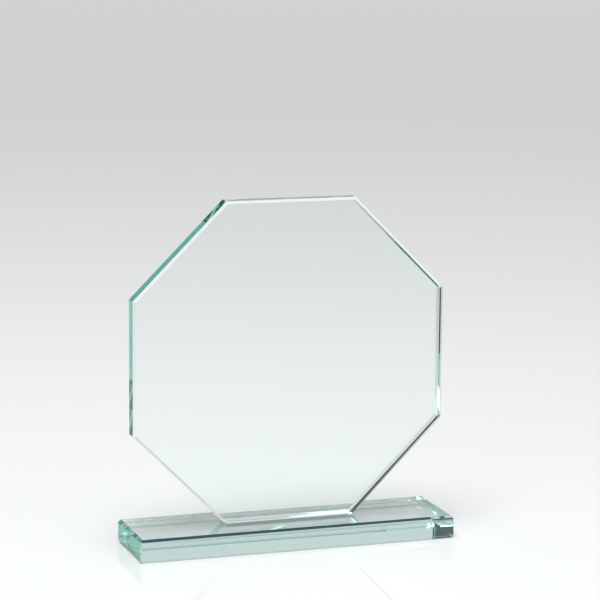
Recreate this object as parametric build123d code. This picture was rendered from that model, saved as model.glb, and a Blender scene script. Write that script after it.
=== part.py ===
from build123d import *
import os

# Octagonal glass award on a bonded glass base, in millimetres.
# +Z is up, the reader stands on the -Y side, and the origin is the middle of the base's underside.

# Driving dimensions
plate_width = 140.0  # across the flats of the regular octagon
plate_thickness = 8.0  # stock float glass
plate_bevel = 1.1  # leg of the 45 degree bevel round the front and the back face

base_length = 142.0
base_depth = 38.0  # 1 1/2 inch strip
base_height = 10.0  # stock float glass
base_bevel = 1.2  # leg of the 45 degree bevel round the top and the underside
base_corner_bevel = 0.6  # leg of the narrow bevel down each upright corner

film_thickness = 0.1  # cured clear adhesive between the two glasses
film_inset = 0.15  # how far the adhesive stops short of the edges of the plate's foot

# Derived sizes
octagon_sides = 8
half_side_angle = 180.0 / octagon_sides
plate_centre_height = base_height + film_thickness + plate_width / 2


def octagon_plate():
    """Upright octagonal sheet that stands on one of its flat edges, bevelled round both faces."""
    outline = RegularPolygon(
        radius=plate_width / 2,
        side_count=octagon_sides,
        major_radius=False,
        rotation=half_side_angle,
    )
    sheet = extrude(Plane.XZ * Pos(0, plate_centre_height) * outline, amount=plate_thickness / 2, both=True)
    front, *_, back = sheet.faces().sort_by(Axis.Y)
    return chamfer(front.edges() + back.edges(), length=plate_bevel)


def base_slab():
    """Rectangular block, bevelled round its top and underside and then down its four corners."""
    block = Pos(0, 0, base_height / 2) * Box(base_length, base_depth, base_height)
    underside, *_, top = block.faces().sort_by(Axis.Z)
    block = chamfer(underside.edges() + top.edges(), length=base_bevel)
    return chamfer(block.edges().filter_by(Axis.Z), length=base_corner_bevel)


def bond_film(plate):
    """Layer of clear adhesive that fills the space between the plate's flat foot and the base."""
    foot = plate.faces().sort_by(Axis.Z)[0].bounding_box().size
    film = Box(foot.X - 2 * film_inset, foot.Y - 2 * film_inset, film_thickness)
    return Pos(0, 0, base_height + film_thickness / 2) * film


plate = octagon_plate()
nodes = {
    "octagon_plate": plate,
    "base_slab": base_slab(),
    "bond_film": bond_film(plate),
}

os.makedirs("parts", exist_ok=True)
for name, solid in nodes.items():
    export_step(solid, f"parts/{name}.step")
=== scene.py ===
import math

import bmesh
import bpy
from mathutils import Matrix, Vector


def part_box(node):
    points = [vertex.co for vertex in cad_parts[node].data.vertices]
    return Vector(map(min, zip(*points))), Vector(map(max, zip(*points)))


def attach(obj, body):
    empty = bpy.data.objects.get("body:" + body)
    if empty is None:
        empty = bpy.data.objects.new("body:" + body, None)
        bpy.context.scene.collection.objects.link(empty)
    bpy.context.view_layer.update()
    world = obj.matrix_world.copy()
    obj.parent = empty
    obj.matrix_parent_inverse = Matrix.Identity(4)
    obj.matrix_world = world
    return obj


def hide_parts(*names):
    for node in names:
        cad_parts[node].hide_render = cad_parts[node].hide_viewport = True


# Octagonal glass award on a bonded glass base, in metres.
# +Z is up and the reader stands on the -Y side. Sizes are measured on the construction model, apart from
# the slope of the base's upper bevel. The finish, the room, the lamp and the camera are decided here.

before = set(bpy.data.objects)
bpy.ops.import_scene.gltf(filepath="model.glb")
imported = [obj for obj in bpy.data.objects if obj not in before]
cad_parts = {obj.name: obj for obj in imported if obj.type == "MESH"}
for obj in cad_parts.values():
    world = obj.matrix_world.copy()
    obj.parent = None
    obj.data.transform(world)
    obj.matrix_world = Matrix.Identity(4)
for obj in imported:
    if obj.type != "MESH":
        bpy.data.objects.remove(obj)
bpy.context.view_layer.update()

MM = 0.001
X, Y, Z = 0, 1, 2
LOW, HIGH = 0, 1

# Clearances and edges
SAME_PLACE = 0.01 * MM  # points closer together than this count as one
FILM_CLEARANCE = 0.01 * MM  # keeps the film's faces apart from the glass on either side
FLOOR_CLEARANCE = 0.02 * MM  # the same for the base and the floor
TOP_BEVEL_STEEPNESS = 1.17  # the base's upper bevel is a little steeper than 45 degrees

# Glass
GLASS_IOR = 1.52
GLASS_TINT = (0.20, 0.77, 0.66)  # soda-lime glass takes red first, which makes long paths green
GLASS_DENSITY = 10.0  # per metre
WAVE_HEIGHT = 0.004 * MM  # the faint waviness that the float line leaves
WAVES_PER_METRE = 35.0
POLISH_ROUGHNESS = 0.004
POLISH_PATCHES_PER_METRE = 500.0
ADHESIVE_TINT = (0.93, 0.96, 0.95)

# Floor
FLOOR_SIZE = 16.0
FLOOR_COLOUR = (0.87, 0.88, 0.885)
FLOOR_ROUGHNESS = 0.04
FLOOR_SHEEN = 0.25

# Room. Directions are seen from the award: azimuth 0 is straight behind it and 90 is to the reader's right.
ROOM_LEVEL = 0.72
ROOM_WHITE = (1.0, 1.0, 1.0)
ROOM_DARK = (0.09, 0.115, 0.12)
ROOM_NAVY = (0.01, 0.05, 0.10)
DARK_ZONES = (
    # colour, then azimuth, elevation, half angle and softness of the rim in degrees
    (ROOM_DARK, -26, 15, 21.7, 1),  # behind, to the left
    (ROOM_DARK, -90, 47, 26, 2),  # high on the left
    (ROOM_NAVY, 18, 56, 27, 3),  # high behind
)
CARD_COLOUR = (0.06, 0.065, 0.065)
CARD_WIDTH = 0.30
CARD_HEIGHT = 0.08
CARD_DISTANCE = 0.36  # to the left of the award

# Lamp
LAMP_PLACE = (-0.3, -0.45, 1.6)
LAMP_AIM = (0.15, 0.3, 0.0)
LAMP_SIZE = 1.0
LAMP_POWER = 24.0

# Camera
CAMERA_AZIMUTH = -19.0  # degrees, to the reader's left of straight on
CAMERA_ELEVATION = 9.8
CAMERA_ROLL = 0.5
CAMERA_DISTANCE = 1.0815
CAMERA_LENS = 150.5  # millimetres, as is the sensor
CAMERA_SENSOR_WIDTH = 36.0
CAMERA_REACH = 40.0
AIM_RIGHT = 0.0049  # aim point, from the middle of the award, along the view's right and up
AIM_UP = 0.0306

# Light bounces. Glass needs many, because light runs along inside the plate from face to face.
BOUNCES_INSIDE = 96
BOUNCES_THROUGH = 48


# ---------------------------------------------------------------- sizes from the construction model

def end_corners(node, axis, end):
    """Corners of a node that lie on its lowest or highest plane along an axis."""
    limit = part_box(node)[end][axis]
    corners = [v.co.copy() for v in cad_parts[node].data.vertices]
    return [c for c in corners if abs(c[axis] - limit) < SAME_PLACE]


def bevel_leg(node, face_axis, face_end, across_axis):
    """How far a flat end face stops short of the node's overall size, which is the leg of its bevel."""
    reach = max(c[across_axis] for c in end_corners(node, face_axis, face_end))
    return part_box(node)[HIGH][across_axis] - reach


plate_low, plate_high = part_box("octagon_plate")
plate_size = plate_high - plate_low
plate_bevel = bevel_leg("octagon_plate", Y, LOW, Z)
base_low, base_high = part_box("base_slab")
base_bevel = bevel_leg("base_slab", Z, HIGH, X)
base_corner_bevel = bevel_leg("base_slab", X, HIGH, Y)
foot_corners = end_corners("octagon_plate", Z, LOW)
foot_half_length = max(c.x for c in foot_corners)
foot_half_depth = max(c.y for c in foot_corners)


# ---------------------------------------------------------------- materials

def new_material(name):
    """An empty node material: its nodes, its links and its output node."""
    material = bpy.data.materials.new(name)
    material.use_nodes = True
    nodes = material.node_tree.nodes
    nodes.clear()
    return material, nodes, material.node_tree.links, nodes.new("ShaderNodeOutputMaterial")


def object_noise(nodes, links, per_metre, detail):
    """Noise fixed to the piece, from 0 to 1."""
    place = nodes.new("ShaderNodeTexCoord").outputs["Object"]
    noise = nodes.new("ShaderNodeTexNoise")
    noise.inputs["Scale"].default_value = per_metre
    noise.inputs["Detail"].default_value = detail
    links.new(place, noise.inputs["Vector"])
    return noise.outputs["Fac"]


def float_glass(name):
    """Polished float glass: green in its depth, very slightly wavy, with patches of duller polish."""
    material, nodes, links, output = new_material(name)
    surface = nodes.new("ShaderNodeBsdfPrincipled")
    surface.inputs["Base Color"].default_value = (1, 1, 1, 1)
    surface.inputs["Transmission Weight"].default_value = 1.0
    surface.inputs["IOR"].default_value = GLASS_IOR
    surface.inputs["Roughness"].default_value = 0.0
    links.new(surface.outputs["BSDF"], output.inputs["Surface"])

    body = nodes.new("ShaderNodeVolumeAbsorption")
    body.inputs["Color"].default_value = (*GLASS_TINT, 1)
    body.inputs["Density"].default_value = GLASS_DENSITY
    links.new(body.outputs["Volume"], output.inputs["Volume"])

    dullness = nodes.new("ShaderNodeMapRange")
    dullness.inputs["To Max"].default_value = POLISH_ROUGHNESS
    links.new(object_noise(nodes, links, POLISH_PATCHES_PER_METRE, 3.0), dullness.inputs["Value"])
    links.new(dullness.outputs["Result"], surface.inputs["Roughness"])

    wave = nodes.new("ShaderNodeBump")
    wave.inputs["Strength"].default_value = 1.0
    wave.inputs["Distance"].default_value = WAVE_HEIGHT
    links.new(object_noise(nodes, links, WAVES_PER_METRE, 1.0), wave.inputs["Height"])
    links.new(wave.outputs["Normal"], surface.inputs["Normal"])
    return material


def clear_adhesive(name):
    """Cured clear adhesive."""
    material, nodes, links, output = new_material(name)
    surface = nodes.new("ShaderNodeBsdfTransparent")
    surface.inputs["Color"].default_value = (*ADHESIVE_TINT, 1)
    links.new(surface.outputs["BSDF"], output.inputs["Surface"])
    return material


def pale_table_top(name):
    """Smooth pale table top with a soft sheen."""
    material, nodes, links, output = new_material(name)
    surface = nodes.new("ShaderNodeBsdfPrincipled")
    surface.inputs["Base Color"].default_value = (*FLOOR_COLOUR, 1)
    surface.inputs["Roughness"].default_value = FLOOR_ROUGHNESS
    surface.inputs["Specular IOR Level"].default_value = FLOOR_SHEEN
    links.new(surface.outputs["BSDF"], output.inputs["Surface"])
    return material


def matt_card(name):
    """Matt black card."""
    material, nodes, links, output = new_material(name)
    surface = nodes.new("ShaderNodeBsdfDiffuse")
    surface.inputs["Color"].default_value = (*CARD_COLOUR, 1)
    links.new(surface.outputs["BSDF"], output.inputs["Surface"])
    return material


# ---------------------------------------------------------------- making pieces

def new_object(name, data):
    """An object in the scene for a mesh, a lamp or a camera."""
    made = bpy.data.objects.new(name, data)
    bpy.context.scene.collection.objects.link(made)
    return made


def piece_from_form(name, form, material):
    """Turns a finished bmesh into an object with one material."""
    mesh = bpy.data.meshes.new(name)
    form.to_mesh(mesh)
    form.free()
    mesh.materials.append(material)
    return new_object(name, mesh)


def piece_from_tree(name, tree, sizes):
    """Runs a geometry-nodes tree with the given sizes and keeps its result as a plain mesh."""
    maker = new_object(name + "_maker", bpy.data.meshes.new(name + "_maker"))
    modifier = maker.modifiers.new("Shape", "NODES")
    modifier.node_group = tree
    for identifier, value in sizes.items():
        modifier[identifier] = value
    depsgraph = bpy.context.evaluated_depsgraph_get()
    mesh = bpy.data.meshes.new_from_object(maker.evaluated_get(depsgraph))
    maker.modifiers.remove(modifier)
    bpy.data.objects.remove(maker)
    mesh.name = name
    return new_object(name, mesh)


# ---------------------------------------------------------------- the plate, by geometry nodes

def size_input(tree, name):
    """Adds a named size to the tree and gives the identifier that a modifier sets it by."""
    return tree.interface.new_socket(name=name, in_out="INPUT", socket_type="NodeSocketFloat").identifier


def calculate(tree, operation, first, second):
    """One sum on sizes. Each side is a plain number or another node's output."""
    node = tree.nodes.new("ShaderNodeMath")
    node.operation = operation
    for socket, value in zip(node.inputs, (first, second)):
        if isinstance(value, (int, float)):
            socket.default_value = value
        else:
            tree.links.new(value, socket)
    return node.outputs[0]


def extrude(tree, mesh, distance, selection=None):
    """Pushes the selected faces, or all of them, out along their normal. Gives the mesh and its new top."""
    node = tree.nodes.new("GeometryNodeExtrudeMesh")
    node.mode = "FACES"
    node.inputs["Individual"].default_value = False
    tree.links.new(mesh, node.inputs["Mesh"])
    tree.links.new(distance, node.inputs["Offset Scale"])
    if selection is not None:
        tree.links.new(selection, node.inputs["Selection"])
    return node.outputs["Mesh"], node.outputs["Top"]


def resize(tree, mesh, top, factor):
    """Scales the top face about its own middle."""
    node = tree.nodes.new("GeometryNodeScaleElements")
    tree.links.new(mesh, node.inputs["Geometry"])
    tree.links.new(top, node.inputs["Selection"])
    tree.links.new(factor, node.inputs["Scale"])
    return node.outputs["Geometry"]


def place(tree, mesh, height, rotation):
    """Turns the mesh, then lifts it by a height."""
    lift = tree.nodes.new("ShaderNodeCombineXYZ")
    tree.links.new(height, lift.inputs["Z"])
    node = tree.nodes.new("GeometryNodeTransform")
    node.inputs["Rotation"].default_value = rotation
    tree.links.new(mesh, node.inputs["Geometry"])
    tree.links.new(lift.outputs["Vector"], node.inputs["Translation"])
    return node.outputs["Geometry"]


def octagon_tree(material):
    """Octagonal sheet: one face pushed out three times, wider in the middle, which bevels both faces."""
    tree = bpy.data.node_groups.new("Bevelled octagon", "GeometryNodeTree")
    tree.interface.new_socket(name="Geometry", in_out="OUTPUT", socket_type="NodeSocketGeometry")
    sizes = {name: size_input(tree, name) for name in ("Width", "Thickness", "Bevel", "Middle height")}
    given = tree.nodes.new("NodeGroupInput").outputs
    result = tree.nodes.new("NodeGroupOutput")

    side_count = 8
    half_side_angle = math.pi / side_count
    both_bevels = calculate(tree, "MULTIPLY", given["Bevel"], 2)
    face_width = calculate(tree, "SUBTRACT", given["Width"], both_bevels)
    edge_depth = calculate(tree, "SUBTRACT", given["Thickness"], both_bevels)

    face = tree.nodes.new("GeometryNodeMeshCircle")
    face.fill_type = "NGON"
    face.inputs["Vertices"].default_value = side_count
    radius = calculate(tree, "DIVIDE", face_width, 2 * math.cos(half_side_angle))
    tree.links.new(radius, face.inputs["Radius"])

    mesh, top = extrude(tree, face.outputs["Mesh"], given["Bevel"])
    mesh = resize(tree, mesh, top, calculate(tree, "DIVIDE", given["Width"], face_width))
    mesh, top = extrude(tree, mesh, edge_depth, top)
    mesh, top = extrude(tree, mesh, given["Bevel"], top)
    mesh = resize(tree, mesh, top, calculate(tree, "DIVIDE", face_width, given["Width"]))

    # Extruding leaves the first face open, so a turned-over copy of it closes the sheet.
    back = tree.nodes.new("GeometryNodeFlipFaces")
    tree.links.new(face.outputs["Mesh"], back.inputs["Mesh"])
    join = tree.nodes.new("GeometryNodeJoinGeometry")
    tree.links.new(back.outputs["Mesh"], join.inputs["Geometry"])
    tree.links.new(mesh, join.inputs["Geometry"])
    merge = tree.nodes.new("GeometryNodeMergeByDistance")
    merge.inputs["Distance"].default_value = SAME_PLACE
    tree.links.new(join.outputs["Geometry"], merge.inputs["Geometry"])

    # It was made lying down: centre it through its thickness with a side level, then stand it up.
    half_thickness_down = calculate(tree, "MULTIPLY", given["Thickness"], -0.5)
    mesh = place(tree, merge.outputs["Geometry"], half_thickness_down, (0, 0, half_side_angle))
    mesh = place(tree, mesh, given["Middle height"], (math.pi / 2, 0, 0))

    realize = tree.nodes.new("GeometryNodeRealizeInstances")
    tree.links.new(mesh, realize.inputs["Geometry"])
    finish = tree.nodes.new("GeometryNodeSetMaterial")
    finish.inputs["Material"].default_value = material
    tree.links.new(realize.outputs["Geometry"], finish.inputs["Geometry"])
    tree.links.new(finish.outputs["Geometry"], result.inputs["Geometry"])
    return tree, sizes


def make_plate(glass):
    """Octagonal plate that stands on one of its flat sides."""
    tree, sizes = octagon_tree(glass)
    plate = piece_from_tree("plate_glass", tree, {
        sizes["Width"]: plate_size.x,
        sizes["Thickness"]: plate_size.y,
        sizes["Bevel"]: plate_bevel,
        sizes["Middle height"]: (plate_low.z + plate_high.z) / 2,
    })
    plate.data.materials.clear()
    plate.data.materials.append(glass)
    for face in plate.data.polygons:
        face.use_smooth = False
        face.material_index = 0
    return plate


# ---------------------------------------------------------------- the base and the film

def make_base(glass):
    """Rectangular block, bevelled round its top, its underside and its upright corners."""
    half = (base_high - base_low) / 2
    middle = (base_high + base_low) / 2
    levels = (
        # height from the middle, and how far the outline is drawn in there
        (-half.z, base_bevel),
        (-half.z + base_bevel, 0.0),
        (half.z - base_bevel * TOP_BEVEL_STEEPNESS, 0.0),
        (half.z, base_bevel),
    )
    corners = ((-1, -1), (1, -1), (1, 1), (-1, 1))
    form = bmesh.new()
    rings = [
        [
            form.verts.new(middle + Vector((sx * (half.x - inward), sy * (half.y - inward), height)))
            for sx, sy in corners
        ]
        for height, inward in levels
    ]
    form.faces.new(list(reversed(rings[0])))
    for lower, upper in zip(rings, rings[1:]):
        for i in range(len(corners)):
            j = (i + 1) % len(corners)
            form.faces.new((lower[i], lower[j], upper[j], upper[i]))
    form.faces.new(rings[3])

    uprights = [form.edges.get(ends) for ends in zip(rings[1], rings[2])]
    bmesh.ops.bevel(
        form, geom=uprights, offset=base_corner_bevel, offset_type="OFFSET", segments=1, affect="EDGES",
    )
    return piece_from_form("base_glass", form, glass)


def make_film(adhesive):
    """Thin clear layer between the plate's foot and the base."""
    low = Vector((-foot_half_length, -foot_half_depth, base_high.z + FILM_CLEARANCE))
    high = Vector((foot_half_length, foot_half_depth, plate_low.z - FILM_CLEARANCE))
    shape = Matrix.Translation((low + high) / 2) @ Matrix.Diagonal((*(high - low), 1))
    form = bmesh.new()
    bmesh.ops.create_cube(form, size=1.0, matrix=shape)
    return piece_from_form("bond_line", form, adhesive)


# ---------------------------------------------------------------- floor, card and room

def flat_sheet(name, corners, material):
    """One four-sided face for the room."""
    form = bmesh.new()
    form.faces.new([form.verts.new(corner) for corner in corners])
    sheet = piece_from_form(name, form, material)
    return sheet


def make_floor():
    """Table top, just under the base."""
    reach = FLOOR_SIZE / 2
    level = base_low.z - FLOOR_CLEARANCE
    corners = [(-reach, -reach, level), (reach, -reach, level), (reach, reach, level), (-reach, reach, level)]
    flat_sheet("floor", corners, pale_table_top("Pale table top"))


def make_black_card():
    """Low black card on the left that darkens the right-hand edges. The camera itself doesn't see it."""
    near, far = -CARD_WIDTH / 2, CARD_WIDTH / 2
    corners = [
        (-CARD_DISTANCE, near, 0.0),
        (-CARD_DISTANCE, far, 0.0),
        (-CARD_DISTANCE, far, CARD_HEIGHT),
        (-CARD_DISTANCE, near, CARD_HEIGHT),
    ]
    card = flat_sheet("black_card", corners, matt_card("Black card"))
    card.visible_camera = False


def direction(azimuth, elevation):
    """Unit vector from the award towards a place in the room."""
    a, e = math.radians(azimuth), math.radians(elevation)
    return Vector((math.sin(a) * math.cos(e), math.cos(a) * math.cos(e), math.sin(e)))


def mix_colour(nodes, links, factor, first, second):
    """The first colour where the factor is 0 and the second where it is 1."""
    node = nodes.new("ShaderNodeMix")
    node.data_type = "RGBA"
    links.new(factor, node.inputs["Factor"])
    colour_sockets = node.inputs[6], node.inputs[7]
    for socket, value in zip(colour_sockets, (first, second)):
        if isinstance(value, tuple):
            socket.default_value = (*value, 1)
        else:
            links.new(value, socket)
    return node.outputs[2]


def zone_mask(nodes, links, towards, centre, half_angle, softness):
    """1 inside a round zone of the room, 0 outside it."""
    alignment = nodes.new("ShaderNodeVectorMath")
    alignment.operation = "DOT_PRODUCT"
    links.new(towards, alignment.inputs[0])
    alignment.inputs[1].default_value = centre
    rim = nodes.new("ShaderNodeMapRange")
    rim.interpolation_type = "SMOOTHSTEP"
    rim.inputs["From Min"].default_value = math.cos(math.radians(half_angle + softness))
    rim.inputs["From Max"].default_value = math.cos(math.radians(half_angle - softness))
    links.new(alignment.outputs["Value"], rim.inputs["Value"])
    return rim.outputs["Result"]


def make_room():
    """White room with dark zones that draw the edges of the glass. The camera itself sees it all white."""
    world = bpy.data.worlds.new("Studio")
    bpy.context.scene.world = world
    world.use_nodes = True
    nodes, links = world.node_tree.nodes, world.node_tree.links
    nodes.clear()
    towards = nodes.new("ShaderNodeTexCoord").outputs["Generated"]
    colour = ROOM_WHITE
    for zone_colour, azimuth, elevation, half_angle, softness in DARK_ZONES:
        mask = zone_mask(nodes, links, towards, direction(azimuth, elevation), half_angle, softness)
        colour = mix_colour(nodes, links, mask, colour, zone_colour)
    camera_ray = nodes.new("ShaderNodeLightPath").outputs["Is Camera Ray"]
    colour = mix_colour(nodes, links, camera_ray, colour, ROOM_WHITE)
    background = nodes.new("ShaderNodeBackground")
    background.inputs["Strength"].default_value = ROOM_LEVEL
    links.new(colour, background.inputs["Color"])
    output = nodes.new("ShaderNodeOutputWorld")
    links.new(background.outputs["Background"], output.inputs["Surface"])


def make_lamp():
    """Square softbox overhead, hidden from plain reflections."""
    lamp = bpy.data.lights.new("overhead_softbox", "AREA")
    lamp.shape = "SQUARE"
    lamp.size = LAMP_SIZE
    lamp.energy = LAMP_POWER
    holder = new_object("overhead_softbox", lamp)
    holder.location = LAMP_PLACE
    holder.rotation_euler = (Vector(LAMP_AIM) - Vector(LAMP_PLACE)).to_track_quat("-Z", "Y").to_euler()
    holder.visible_glossy = False


# ---------------------------------------------------------------- camera

def make_camera():
    """Long lens from the reader's left and a little above, rolled very slightly."""
    back = direction(180 - CAMERA_AZIMUTH, CAMERA_ELEVATION)
    right = Vector((0, 0, 1)).cross(back).normalized()
    up = back.cross(right)
    middle = Vector((0, 0, (base_low.z + plate_high.z) / 2))
    aim = middle + right * AIM_RIGHT + up * AIM_UP
    facing = Matrix((right, up, back)).transposed().to_4x4()
    roll = Matrix.Rotation(math.radians(CAMERA_ROLL), 4, "Z")
    camera = new_object("camera", bpy.data.cameras.new("camera"))
    camera.matrix_world = Matrix.Translation(aim + back * CAMERA_DISTANCE) @ facing @ roll
    camera.data.lens = CAMERA_LENS
    camera.data.sensor_width = CAMERA_SENSOR_WIDTH
    camera.data.clip_end = CAMERA_REACH
    bpy.context.scene.camera = camera


# ---------------------------------------------------------------- put together

glass = float_glass("Polished float glass")
pieces = (
    # piece, construction node that it stands for, material slot
    (make_plate(glass), "octagon_plate", "plate_glass"),
    (make_base(glass), "base_slab", "base_glass"),
    (make_film(clear_adhesive("Clear adhesive")), "bond_film", "clear_adhesive"),
)
for piece, node, slot in pieces:
    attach(piece, "root")
    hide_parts(node)

make_floor()
make_room()
make_lamp()
make_black_card()
make_camera()

scene = bpy.context.scene
scene.view_settings.view_transform = "Standard"
scene.cycles.max_bounces = BOUNCES_INSIDE
scene.cycles.glossy_bounces = BOUNCES_INSIDE
scene.cycles.transmission_bounces = BOUNCES_THROUGH
scene.cycles.transparent_max_bounces = BOUNCES_THROUGH
